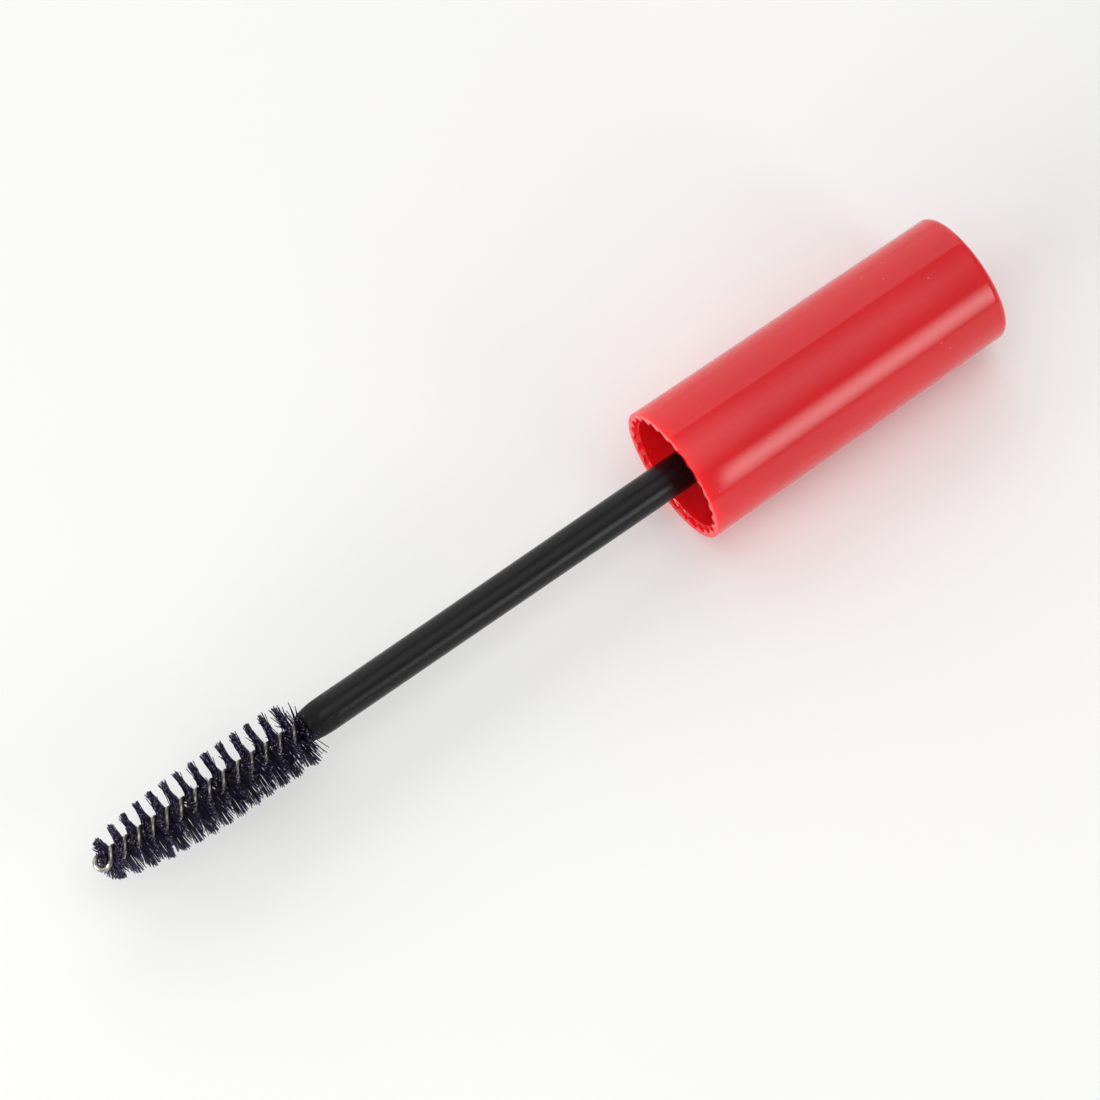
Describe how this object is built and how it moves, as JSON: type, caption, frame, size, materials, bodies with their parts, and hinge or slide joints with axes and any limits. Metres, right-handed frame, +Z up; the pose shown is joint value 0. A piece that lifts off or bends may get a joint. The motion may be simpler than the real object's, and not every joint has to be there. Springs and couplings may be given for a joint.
{
  "type": "mascara applicator",
  "caption": "Screw cap with a toothed, threaded mouth and a slim rod that carries a twisted-wire mascara brush.",
  "frame": {"origin": "centre of the bounding box's bottom, on the surface that the cap's side rests on", "axes": "+X along the wand from the brush tip to the cap's closed end, +Z up"},
  "size_m": [0.1159, 0.016, 0.016],
  "materials": {
    "cap_plastic": "moulded gloss, coral red, slightly translucent",
    "rod_plastic": "moulded satin gloss, black",
    "washer_foam": "closed-cell polyethylene foam, charcoal",
    "wire_steel": "drawn stainless wire",
    "bristle_nylon": "drawn nylon fibre, violet black"
  },
  "bodies": {
    "root": {"cap": "cap_plastic", "rod": "rod_plastic", "seal_washer": "washer_foam", "twisted_wire": "wire_steel", "bristle_bundle_01": "bristle_nylon", "bristle_bundle_02": "bristle_nylon", "bristle_bundle_03": "bristle_nylon", "bristle_bundle_04": "bristle_nylon", "bristle_bundle_05": "bristle_nylon", "bristle_bundle_06": "bristle_nylon", "bristle_bundle_07": "bristle_nylon", "bristle_bundle_08": "bristle_nylon", "bristle_bundle_09": "bristle_nylon", "bristle_bundle_10": "bristle_nylon", "bristle_bundle_11": "bristle_nylon", "bristle_bundle_12": "bristle_nylon", "bristle_bundle_13": "bristle_nylon", "bristle_bundle_14": "bristle_nylon", "bristle_bundle_15": "bristle_nylon"}
  },
  "joints": []
}
